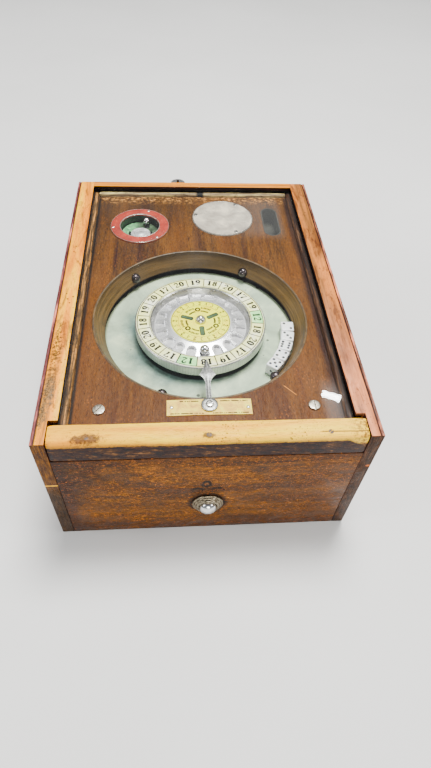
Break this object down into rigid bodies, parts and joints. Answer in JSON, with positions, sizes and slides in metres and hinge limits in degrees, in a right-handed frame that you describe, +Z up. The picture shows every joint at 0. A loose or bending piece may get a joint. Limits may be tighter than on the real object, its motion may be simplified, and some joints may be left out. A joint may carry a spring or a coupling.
{
  "type": "counter-top wheel and dice game machine",
  "caption": "Counter-top coin game in a glass-topped wooden case: push button spins a numbered wheel and ball inside a dice well, with a pointer and coin window.",
  "frame": {"origin": "centre of the case's underside, on the surface that it stands on", "axes": "+X to the player's right, +Y from the front panel to the back board, +Z up"},
  "size_m": [0.2794, 0.4045, 0.1534],
  "materials": {
    "side_wood": "worn shellac over oak",
    "back_wood": "worn shellac",
    "front_wood": "dark varnish worn to honey brown",
    "rail_wood": "worn varnish, dark on the front",
    "panel_wood": "satin mahogany",
    "inner_wood": "bare softwood",
    "bead_strip": "grey felt-faced strip",
    "glass": "clear float glass",
    "hoop_band": "varnished bent band",
    "bumper_iron": "blued round heads",
    "screw_steel": "aged slotted screws",
    "nickel": "worn nickel plate",
    "nickel_collar": "nickel worn to brass",
    "chrome_ball": "polished",
    "cream_plate": "cream enamel",
    "pin_brass": "small pins",
    "red_enamel": "coral red enamel",
    "cup_green": "dark green enamel",
    "flap_green": "pale green enamel",
    "coin_metal": "worn coin",
    "white_enamel": "white enamel",
    "olive_liner": "dark olive",
    "tray_enamel": "pale grey green enamel",
    "wheel_metal": "satin nickel",
    "number_card": "printed card",
    "label_card": "printed card",
    "dice_white": "white with black pips",
    "steel": "plain steel",
    "brass": "plain brass",
    "tinplate": "folded tinplate"
  },
  "bodies": {
    "case": {"side_board_left": "side_wood", "side_board_right": "side_wood", "back_board": "back_wood", "front_panel": "front_wood", "base_board": "inner_wood", "base_screws": "screw_steel", "battens": "inner_wood", "bearer_front": "inner_wood", "bead_sides": "bead_strip", "bead_back": "bead_strip", "playfield_panel": "panel_wood", "panel_screws": "screw_steel", "well_hoop": "hoop_band", "well_bumpers": "bumper_iron", "pointer": "nickel", "pointer_screw": "nickel", "pointer_plate": "cream_plate", "dress_pins": "pin_brass", "coin_window_ring": "red_enamel", "coin_cup": "cup_green", "flap_pin": "steel", "cover_plate": "white_enamel", "cover_plate_screws": "nickel", "window_liner": "olive_liner", "coin_entry": "nickel", "coin_entry_screws": "screw_steel", "coin_chute": "tinplate", "cash_box": "tinplate", "plunger_bushing": "nickel_collar", "bushing_nut": "steel", "rod_guide": "steel", "plunger_spring": "steel", "mechanism_bridge": "inner_wood", "mechanism_screws": "screw_steel", "upper_bearing": "brass", "lower_bearing": "brass"},
    "lid": {"lid_rail": "rail_wood", "lid_glass": "glass", "lid_rail_screws": "screw_steel"},
    "spinner": {"spindle": "steel", "tray_disc": "tray_enamel", "tray_hub": "steel", "wheel_spacer": "steel", "wheel_rim": "wheel_metal", "wheel_floor": "wheel_metal", "pocket_crown": "wheel_metal", "number_ring": "number_card", "wheel_label": "label_card", "centre_nut": "nickel", "roulette_ball": "chrome_ball", "ratchet_wheel": "steel"},
    "plunger": {"plunger_knob": "nickel", "plunger_rod": "steel", "plunger_rack": "steel"},
    "pinion": {"drive_pinion": "brass", "drive_pawl": "steel"},
    "dice_row": {"dice": "dice_white"},
    "flap": {"coin_flap": "flap_green", "coin": "coin_metal", "flap_stop": "chrome_ball"}
  },
  "joints": [
    {"name": "lid_slide", "type": "slide", "parent": "case", "child": "lid", "axis": [0, -1, 0], "range_m": [0, 0.376]},
    {"name": "wheel_spin", "type": "hinge", "parent": "case", "child": "spinner", "pos_m": [-0.001, -0.037, 0.119], "axis": [0, 0, 1], "continuous": true},
    {"name": "plunger_push", "type": "slide", "parent": "case", "child": "plunger", "axis": [0, 1, 0], "range_m": [0, 0.008], "stiffness_N_per_m": 400, "springref_m": -0.008, "deforming": ["plunger_spring"]},
    {"name": "pinion_turn", "type": "hinge", "parent": "case", "child": "pinion", "pos_m": [-0.001, -0.037, 0.048], "axis": [0, 0, 1], "range_deg": [-5, 45]},
    {"name": "dice_roll", "type": "hinge", "parent": "case", "child": "dice_row", "pos_m": [-0.001, -0.037, 0.119], "axis": [0, 0, 1], "range_deg": [0, 53]},
    {"name": "flap_drop", "type": "hinge", "parent": "case", "child": "flap", "pos_m": [-0.0642, 0.1309, 0.1309], "axis": [1, 0, 0], "range_deg": [-2, 55]}
  ],
  "couplings": [
    {"joint": "pinion_turn", "follows": "plunger_push", "rad_per_m": 83.333},
    {"joint": "flap_drop", "follows": "plunger_push", "rad_per_m": 109}
  ]
}
